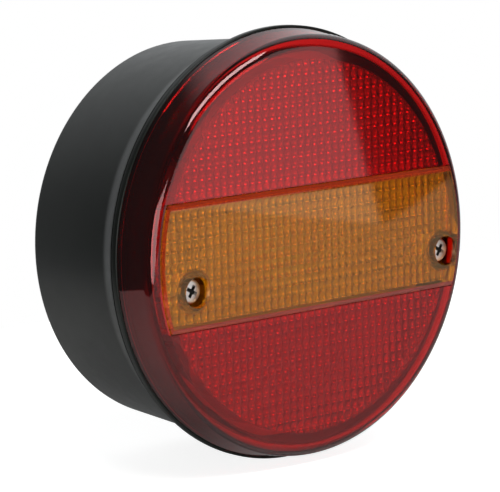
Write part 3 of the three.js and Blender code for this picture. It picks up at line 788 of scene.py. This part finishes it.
def make_bulb(name, z):
    foot = [(0, 1.5), (4.6, 1.5), (6.9, 3.5), (7.5, 4.5)]
    bead_ring = [(7.5, 16.2), (7.1, 16.7), (7.5, 17.2), (7.5, 18.5), (0, 18.5)]
    radii = {1: 0.6, 2: 0.9, 3: 0.8, 4: 0.2, 5: 0.3, 6: 0.2, 7: 0.35}
    cap = turned("cap", rounded([*foot, *bead_ring], radii), 96)
    pins = turned("pins", [(0, -9.3), (0.75, -9.3), (1, -9.05), (1, 9.05), (0.75, 9.3), (0, 9.3)], 32)
    pins.data.transform(Matrix.Rotation(-math.pi / 2, 4, "Z"))
    pins.data.transform(Matrix.Translation((0, 8 * MM, 0)))
    join(cap, pins)
    stand_for(along_x(cap, z), f"{name}_bulb_cap")

    solder = turned("solder", [(0, 0), (1.1, 0.04), (1.9, 0.25), (2.4, 0.6), (2.6, 1.2), (0, 1.2)], 48)
    stand_for(along_x(solder, z), f"{name}_bulb_contact")

    wall = 0.9
    glass = turned("glass", [*reversed(glass_skin(wall)), *glass_skin(0)], 96)
    stand_for(along_x(glass, z), f"{name}_bulb_glass")

    stem = [(0, 18.8), (3.2, 18.8), (2.7, 22), (2.2, 24.8), (1.3, 26.6), (0, 26.8)]
    filament = turned("stem", stem, 32)
    leads = []
    for side in (-1, 1):
        route = [(side * 1, 24.8, 0), (side * 2, 27.8, 0), (side * 3.4, 30.8, 0), (side * 3.4, 37.2, 0)]
        leads.append(tube("lead", curve_through(route, 6), 0.3, 10))
    windings, per_turn, coil_half, coil_y, coil_radius = 16, 12, 3.6, 37, 0.6
    helix = []
    for k in range(windings * per_turn + 1):
        t = 2 * math.pi * k / per_turn
        along = -coil_half + 2 * coil_half * k / (windings * per_turn)
        helix.append((along, coil_y + coil_radius * math.cos(t), coil_radius * math.sin(t)))
    gather(filament, *leads, tube("coil", helix, 0.13, 6))
    stand_for(along_x(filament, z), f"{name}_bulb_filament")


def make_sleeve(name, z):
    """The holder's metal sleeve, with an opening at each side for a bayonet pin's whole movement."""
    outline = [(7.8, -11.3), (8.4, -11.3), (8.4, 15), (7.8, 15)]
    sleeve = turned("sleeve", rounded(outline, {1: 0.2, 2: 0.25, 3: 0.25}), 96)
    half, reach, inward = 1.3, 9.4, 4.7
    lean = reach * math.tan(math.radians(20)) + half
    for turn in (0, math.pi):
        wedge = prism("wedge", [(0, half), (reach, half), (reach, -lean), (0, -half)], inward, 16)
        wedge.data.transform(Matrix.Rotation(turn, 4, "Y"))
        cut(sleeve, wedge)
    stand_for(along_x(sleeve, z), f"{name}_socket_sleeve")


def make_contact(name, z):
    """The holder's insulating disc, its plunger and the spring that the bulb's push squashes."""
    disc = turned("disc", rounded([(1.7, -11), (7.5, -11), (7.5, -9), (1.7, -9)], {1: 0.3, 2: 0.3}), 64)
    stand_for(along_x(disc, z), f"{name}_socket_insulator")

    outline = [(0, -13.5), (1.4, -13.5), (1.4, -2.2), (3.2, -2.2), (3.2, -0.3), (0, -0.3)]
    plunger = turned("plunger", rounded(outline, {1: 0.4, 3: 0.3, 4: 0.7}), 48)
    stand_for(along_x(plunger, z), f"{name}_contact_plunger")

    radius, wire, start, end, turns, per_turn = 2.5, 0.3, -8.4, -2.8, 3.5, 28
    count = round(turns * per_turn)
    helix = []
    for k in range(count + 1):
        t = 2 * math.pi * k / per_turn
        helix.append((radius * math.cos(t), start + (end - start) * k / count, radius * math.sin(t)))
    spring = stand_for(along_x(tube("spring", helix, wire, 12), z), f"{name}_contact_spring")
    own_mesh(spring)


def make_bracket(name, z):
    """The angle that carries the sleeve, and the rivet that holds it to the tray."""
    a, b = low(f"{name}_socket_bracket"), high(f"{name}_socket_bracket")
    sheet = 1.2
    upright = [(a.x, a.y), (a.x + sheet, a.y), (a.x + sheet, b.y - sheet)]
    foot = [(b.x, b.y - sheet), (b.x, b.y), (a.x, b.y)]
    rounding = {0: 0.3, 1: 0.3, 2: 1.0, 3: 0.3, 4: 0.3, 5: 2.0}
    bracket = plate_z("bracket", rounded([*upright, *foot], rounding), a.z, b.z)
    eye = rod("eye", 8.7, a.x - BULB_FOOT - 1, a.x - BULB_FOOT + sheet + 1, sides=96)
    place = middle(f"{name}_bracket_rivet")
    hole = rod("hole", 1.8, b.y - sheet - 1, b.y + 1, place.x, place.z, 32)
    cut(bracket, along_x(eye, z), hole)
    stand_for(bracket, f"{name}_socket_bracket")

    front, rear = low(f"{name}_bracket_rivet").y, high(f"{name}_bracket_rivet").y
    head, shank, thick = 2.6, 1.5, 1.1
    dome = [(0, 0), (1.5, 0.12), (head - 0.25, 0.6), (head, thick), (shank, thick)]
    outline = [(r, rear - depth) for r, depth in dome]
    outline += [(r, front + depth) for r, depth in reversed(dome)]
    stand_for(shift(turned("rivet", outline, 40), place), f"{name}_bracket_rivet")


def make_feed_wire(name, z, way_z):
    """A lead from the back of a bulb holder, through the tray and behind it to its terminal."""
    tag, depth, tray = BULB_FOOT - 11.3, -7.6, -14
    side = 0 if abs(z) < 1 else math.copysign(1, z)
    hole_z = wire_hole(z)
    route = [
        (tag, BULB_AXIS + 5, hole_z),
        (tag - 2.4, BULB_AXIS + 5.6, hole_z),
        (WIRE_HOLE_X, BULB_AXIS + 10, hole_z),
        (WIRE_HOLE_X, tray - 1, hole_z),
        (WIRE_HOLE_X + 1, tray + 4, hole_z),
        (WIRE_HOLE_X + 7, depth, hole_z - side * 6),
        (-12, depth, way_z + side * 4),
        (6, depth, way_z),
        (19.6, depth, way_z),
    ]
    stand_for(tube("wire", curve_through(route), 0.9, 16), f"{name}_feed_wire")


def make_dividers():
    """The two walls between the chambers, each with its foot set in at both ends."""
    foot_inset, foot_height = 4, 12
    for node in ("upper_divider", "lower_divider"):
        a, b = low(node), high(node)
        foot = [(a.x + foot_inset, b.y), (b.x - foot_inset, b.y), (b.x, b.y - foot_height)]
        front = [(b.x, a.y), (a.x, a.y), (a.x, b.y - foot_height)]
        outline = rounded([*foot, *front], {0: 1, 1: 1, 2: 3, 3: 1, 4: 1, 5: 3})
        stand_for(plate_z(node + "_wall", outline, a.z, b.z), node)


def make_seal():
    node = "lens_seal"
    rear, front = high(node).y, low(node).y
    outer = high(node).x
    inner = outer - 2
    outline = [(inner, rear), (outer, rear), (outer, front), (inner, front)]
    stand_for(turned("seal", rounded(outline, {0: 0.3, 1: 0.3, 2: 0.6, 3: 0.6})), node)


def make_washer(side):
    """The rubber washer under a lens screw's head."""
    node = f"screw_washer_{side}"
    rear, front = high(node).y, low(node).y
    outline = [(2.2, rear), (4.3, rear), (4.3, front), (2.2, front)]
    washer = turned("washer", rounded(outline, {1: 0.2, 2: 0.25, 3: 0.15}), 64)
    stand_for(shift(washer, SCREWS[side]), node)


def make_insert(side):
    """The brass bush that a lens screw turns in, waisted so that the post holds it."""
    node = f"thread_insert_{side}"
    rear, front = high(node).y, low(node).y
    half = (rear + front) / 2
    outer, waist, waist_half, bore = 3.1, 2.7, 0.6, 2.2
    outline = [(2.6, front), (outer, front), (outer, half - waist_half), (waist, half - waist_half)]
    outline += [(waist, half + waist_half), (outer, half + waist_half), (outer, rear), (bore, rear)]
    outline += [(bore, front + 0.4)]
    stand_for(shift(turned("insert", outline, 64), SCREWS[side]), node)


def make_bush():
    """The rubber bush in the cable hole, with a flange inside the rear wall."""
    node = "cable_grommet"
    inside = low(node).y
    outline = [(3.6, 0), (5.6, 0), (5.6, -3.1), (7.6, -3.1), (6.9, inside), (3.6, inside)]
    bush = turned("bush", rounded(outline, {0: 0.5, 1: 0.3, 3: 0.4, 4: 0.7, 5: 0.5}), 96)
    stand_for(shift(bush, middle(node)), node)


def make_stud(node):
    """A square-headed M6 bolt, held by its head inside the housing's rear wall."""
    head_front, tip = low(node).y, high(node).y
    head_rear = head_front + 3.6
    shank, root, pitch, thread_start = 2.9, 2.35, 1.0, 2
    turns = int((tip - thread_start - STUD_THREAD_END) / pitch)
    profile = [(0, head_rear - 1), (shank, head_rear - 1), (shank, thread_start)]
    profile += thread(shank, root, pitch, thread_start, turns, (0.1, 0.45, 0.55, 0.9))
    profile += [(shank, tip - STUD_THREAD_END), (2.2, tip), (0, tip)]
    stud = turned("stud", profile, 64)
    half = STUD_HEAD_HALF
    corners = [(-half, -half), (half, -half), (half, half), (-half, half)]
    join(stud, prism("head", rounded(corners, {k: 0.5 for k in range(4)}), head_front, head_rear))
    stand_for(shift(stud, middle(node)), node)


def keep_cad_nodes():
    """Every CAD node that stays in view takes its slot's material."""
    for node, obj in frame["nodes"].items():
        obj.data.materials.clear()
        obj.data.materials.append(MATERIALS[SLOT[node]])


# ---------------------------------------------------------------- studio

CAMERA_TURN = -40.83  # degrees from -Y towards +X
CAMERA_RISE = 8.69
CAMERA_ROLL = -1.6
CAMERA_DISTANCE = 0.980  # metres, as are the next three
AIM_DEPTH = -0.0291  # where on the lamp's axis the camera is aimed, but for the next two
AIM_RIGHT = 0.0040
AIM_DOWN = 0.00325
CAMERA_LENS = 215.4  # focal length in millimetres

FLOOR_LEVEL = -LIP - 0.3
TABLE_LEFT, TABLE_BACK, TABLE_FRONT = -240, 210, -750
TABLE_NOTCH = [(330, TABLE_FRONT), (377, -435), (700, -656)]  # the lamp mirrors the dark beyond it
ROOM_BRIGHT_WAY = (139, 5)  # turn and rise of the middle of the room's bright part
ROOM_BRIGHT_ANGLES = (68, 50)  # it begins and is full this far from its middle
ROOM_STRENGTHS = (0.10, 0.75)


def direction(turn, rise):
    """The unit vector turn degrees from -Y towards +X and rise degrees above the level."""
    a, e = math.radians(turn), math.radians(rise)
    return Vector((math.sin(a) * math.cos(e), -math.cos(a) * math.cos(e), math.sin(e)))


def make_camera():
    a, r = math.radians(CAMERA_TURN), math.radians(CAMERA_ROLL)
    back = direction(CAMERA_TURN, CAMERA_RISE)
    level = Vector((math.cos(a), math.sin(a), 0))
    above = back.cross(level)
    right = level * math.cos(r) + above * math.sin(r)
    up = above * math.cos(r) - level * math.sin(r)
    aim = Vector((0, AIM_DEPTH, 0)) + right * AIM_RIGHT - up * AIM_DOWN
    data = bpy.data.cameras.new("camera")
    data.sensor_width = 36
    data.lens = CAMERA_LENS
    data.clip_start = 0.05
    camera = bpy.data.objects.new("camera", data)
    place = Matrix((right, up, back)).transposed().to_4x4()
    place.translation = aim + back * CAMERA_DISTANCE
    camera.matrix_world = place
    bpy.context.scene.collection.objects.link(camera)
    bpy.context.scene.camera = camera


def softbox(name, turn, rise, wide, tall, radiance, roll=0, distance=1.4, aim=(0, -0.04, 0)):
    """A rectangular light that faces the lamp and fills the given angles, in degrees, as the lamp
    sees it. turn is measured towards +X from -Y; roll tips the rectangle in its own plane."""
    width, height = (2 * distance * math.tan(math.radians(v / 2)) for v in (wide, tall))
    away = direction(turn, rise)
    data = bpy.data.lights.new(name, "AREA")
    data.shape = "RECTANGLE"
    data.size, data.size_y = width, height
    data.energy = radiance * math.pi * width * height
    light = bpy.data.objects.new(name, data)
    light.location = Vector(aim) + away * distance
    light.rotation_mode = "QUATERNION"
    tip = Quaternion((0, 0, 1), math.radians(roll))
    light.rotation_quaternion = away.to_track_quat("Z", "Y") @ tip
    light.visible_camera = False
    bpy.context.scene.collection.objects.link(light)


def make_table():
    """A pale floor that is brighter to the camera than the light it gives."""
    corners = [(TABLE_LEFT, TABLE_FRONT), *TABLE_NOTCH, (700, TABLE_BACK), (TABLE_LEFT, TABLE_BACK)]
    points = [(x, y, FLOOR_LEVEL) for x, y in corners]
    table = new_object("table", points, [tuple(range(len(points)))])
    white = Nodes("table_white")
    white.colour(white.noise(4, 2), (0.50, 0.50, 0.49), (0.53, 0.53, 0.52))
    white.set(Roughness=0.9, Emission_Color=(1, 1, 1, 1))
    ray = white.add("ShaderNodeLightPath")
    glow = white.span(ray.outputs["Is Camera Ray"], 0.12, 0.85)
    white.link(glow, white.shader.inputs["Emission Strength"])
    table.data.materials.append(white.material)


def make_room():
    """A world that is white to the camera, and to the lamp a dim room with one bright part."""
    world = bpy.data.worlds.new("studio")
    world.use_nodes = True
    nodes, link = world.node_tree.nodes, world.node_tree.links.new
    nodes.clear()
    seen = nodes.new("ShaderNodeLightPath")
    white_back = nodes.new("ShaderNodeBackground")
    white_back.inputs["Strength"].default_value = 1.0
    white_back.inputs["Color"].default_value = (1, 1, 1, 1)
    room = nodes.new("ShaderNodeBackground")
    room.inputs["Color"].default_value = (0.95, 0.98, 1.0, 1)
    look = nodes.new("ShaderNodeTexCoord")
    towards = nodes.new("ShaderNodeVectorMath")
    towards.operation = "DOT_PRODUCT"
    towards.inputs[1].default_value = direction(*ROOM_BRIGHT_WAY)
    fade = nodes.new("ShaderNodeMapRange")
    fade.interpolation_type = "SMOOTHSTEP"
    for end, angle, strength in zip(("Min", "Max"), ROOM_BRIGHT_ANGLES, ROOM_STRENGTHS):
        fade.inputs[f"From {end}"].default_value = math.cos(math.radians(angle))
        fade.inputs[f"To {end}"].default_value = strength
    mix = nodes.new("ShaderNodeMixShader")
    out = nodes.new("ShaderNodeOutputWorld")
    link(look.outputs["Generated"], towards.inputs[0])
    link(towards.outputs["Value"], fade.inputs["Value"])
    link(fade.outputs["Result"], room.inputs["Strength"])
    link(seen.outputs["Is Camera Ray"], mix.inputs["Fac"])
    link(room.outputs["Background"], mix.inputs[1])
    link(white_back.outputs["Background"], mix.inputs[2])
    link(mix.outputs["Shader"], out.inputs["Surface"])
    bpy.context.scene.world = world


def make_studio():
    bpy.context.scene.view_settings.view_transform = "Standard"
    make_table()
    make_room()
    softbox("card_front_right", turn=29.25, rise=3, wide=23, tall=38, radiance=1.1, roll=13)
    softbox("beside_camera", turn=-36, rise=2.5, wide=44, tall=31, radiance=3.5)
    softbox("overhead", turn=-3, rise=60, wide=46, tall=20, radiance=9.5)


make_housing()
make_red_lens()
make_amber_lens()
for side in SCREWS:
    make_lens_screw(side)
make_tray()
make_dividers()
for name in CHAMBERS:
    chamber_z = middle(f"{name}_bulb_cap").z
    make_bulb(name, chamber_z)
    make_sleeve(name, chamber_z)
    make_contact(name, chamber_z)
    make_bracket(name, chamber_z)
    make_feed_wire(name, chamber_z, middle(f"{name}_terminal_screw").z)
make_seal()
for side in SCREWS:
    make_washer(side)
    make_insert(side)
make_bush()
for node in ("mounting_stud_upper", "mounting_stud_lower"):
    make_stud(node)
keep_cad_nodes()
make_camera()
make_studio()
